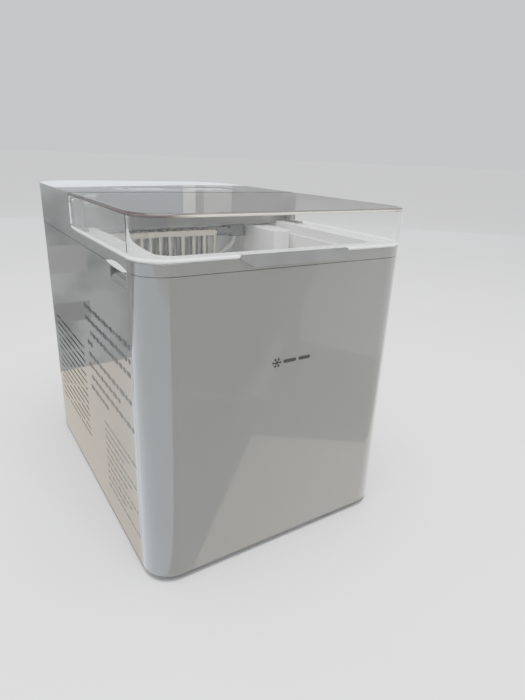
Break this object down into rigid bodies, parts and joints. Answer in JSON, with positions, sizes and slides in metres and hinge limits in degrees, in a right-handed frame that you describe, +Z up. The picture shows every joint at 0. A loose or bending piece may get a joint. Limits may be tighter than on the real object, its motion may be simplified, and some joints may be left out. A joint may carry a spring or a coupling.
{
  "type": "countertop ice maker",
  "caption": "Countertop ice maker with a clear hinged lid over a white ice tank, a lift-out basket, finger evaporator, tipping water tray and fan-cooled refrigeration at the rear.",
  "frame": {"origin": "centre of the object's bounding box on the surface it stands on", "axes": "+Z up, -Y out of the front, +X to the right seen from the front"},
  "size_m": [0.243, 0.362, 0.295],
  "materials": {
    "silver_shell": "glossy pale silver-grey moulding",
    "rear_shell": "fine-grained grey moulding",
    "base_plastic": "fine-grained dark grey moulding",
    "clear_lid": "clear glossy acrylic",
    "smoke_tab": "pale grey translucent plastic",
    "white_liner": "glossy white food-safe moulding",
    "basket_plastic": "glossy off-white moulding",
    "cream_plastic": "satin cream moulding",
    "tray_plastic": "glossy pale grey moulding",
    "cold_metal": "nickel-plated copper, frosted by use",
    "grey_plastic": "satin grey moulding",
    "dark_plastic": "satin black moulding",
    "motor_steel": "zinc-plated steel",
    "white_part": "satin white moulding",
    "foam": "white bead foam",
    "hose": "milky silicone tube",
    "black_rubber": "matt black rubber",
    "compressor_paint": "satin black paint on steel",
    "fin_metal": "mill-finish aluminium fins",
    "copper": "drawn copper tube",
    "board_green": "solder-masked board",
    "fascia_plastic": "glossy dark grey control strip",
    "display_window": "smoked glossy window",
    "button_plastic": "satin silver moulding"
  },
  "bodies": {
    "machine": {"front_panel": "silver_shell", "left_side_panel": "silver_shell", "right_side_panel": "silver_shell", "top_housing": "silver_shell", "rear_panel": "rear_shell", "base_pan": "base_plastic", "inner_tank": "white_liner", "motor_housing": "white_liner", "evaporator_cover": "white_liner", "left_hinge_bracket": "white_liner", "right_hinge_bracket": "white_liner", "grip_lips": "white_liner", "evaporator": "cold_metal", "shovel_drive": "grey_plastic", "fan_shroud": "grey_plastic", "water_pump": "grey_plastic", "left_grip_cup": "grey_plastic", "right_grip_cup": "grey_plastic", "power_inlet": "dark_plastic", "ice_level_sensors": "dark_plastic", "power_module": "dark_plastic", "fan_motor": "motor_steel", "tray_motor": "motor_steel", "hinge_pins": "motor_steel", "panel_screws": "motor_steel", "float_stem": "white_part", "tank_strainer": "white_part", "drain_socket": "white_part", "tank_insulation": "foam", "fill_hose": "hose", "pump_inlet_hose": "hose", "tray_supply_hose": "hose", "drain_hose": "hose", "rubber_feet": "black_rubber", "compressor_grommets": "black_rubber", "compressor": "compressor_paint", "condenser": "fin_metal", "discharge_pipe": "copper", "liquid_pipe": "copper", "suction_pipe": "copper", "filter_drier": "copper", "hot_gas_valve": "copper", "control_board": "board_green", "control_fascia": "fascia_plastic", "display_lens": "display_window"},
    "lid": {"lid": "clear_lid", "lid_grip_tab": "smoke_tab"},
    "basket": {"ice_basket": "basket_plastic"},
    "tray": {"water_tray": "tray_plastic"},
    "shovel": {"ice_shovel": "cream_plastic"},
    "fan": {"fan_blade": "dark_plastic"},
    "power_button": {"power_button": "button_plastic"},
    "select_button": {"select_button": "button_plastic"},
    "float": {"water_float": "white_part"},
    "drain_plug": {"drain_cap": "button_plastic"}
  },
  "joints": [
    {"name": "lid_hinge", "type": "hinge", "parent": "machine", "child": "lid", "pos_m": [0, -0.01, 0.288], "axis": [-1, 0, 0], "range_deg": [0, 90]},
    {"name": "basket_lift", "type": "slide", "parent": "machine", "child": "basket", "axis": [0, 0, 1], "range_m": [0, 0.025]},
    {"name": "tray_tip", "type": "hinge", "parent": "machine", "child": "tray", "pos_m": [0, 0.026, 0.222], "axis": [1, 0, 0], "range_deg": [0, 50]},
    {"name": "shovel_swing", "type": "hinge", "parent": "machine", "child": "shovel", "pos_m": [0, -0.002, 0.2548], "axis": [1, 0, 0], "range_deg": [-45, 50]},
    {"name": "fan_spin", "type": "hinge", "parent": "machine", "child": "fan", "pos_m": [-0.103, 0.045, 0.104], "axis": [1, 0, 0], "continuous": true},
    {"name": "power_press", "type": "slide", "parent": "machine", "child": "power_button", "axis": [0, 0, -1], "range_m": [0, 0.001], "stiffness_N_per_m": 400, "springref_m": -0.001},
    {"name": "select_press", "type": "slide", "parent": "machine", "child": "select_button", "axis": [0, 0, -1], "range_m": [0, 0.001], "stiffness_N_per_m": 400, "springref_m": -0.001},
    {"name": "float_rise", "type": "slide", "parent": "machine", "child": "float", "axis": [0, 0, 1], "range_m": [0, 0.012]},
    {"name": "drain_pull", "type": "slide", "parent": "machine", "child": "drain_plug", "axis": [1, 0, 0], "range_m": [0, 0.012]}
  ]
}
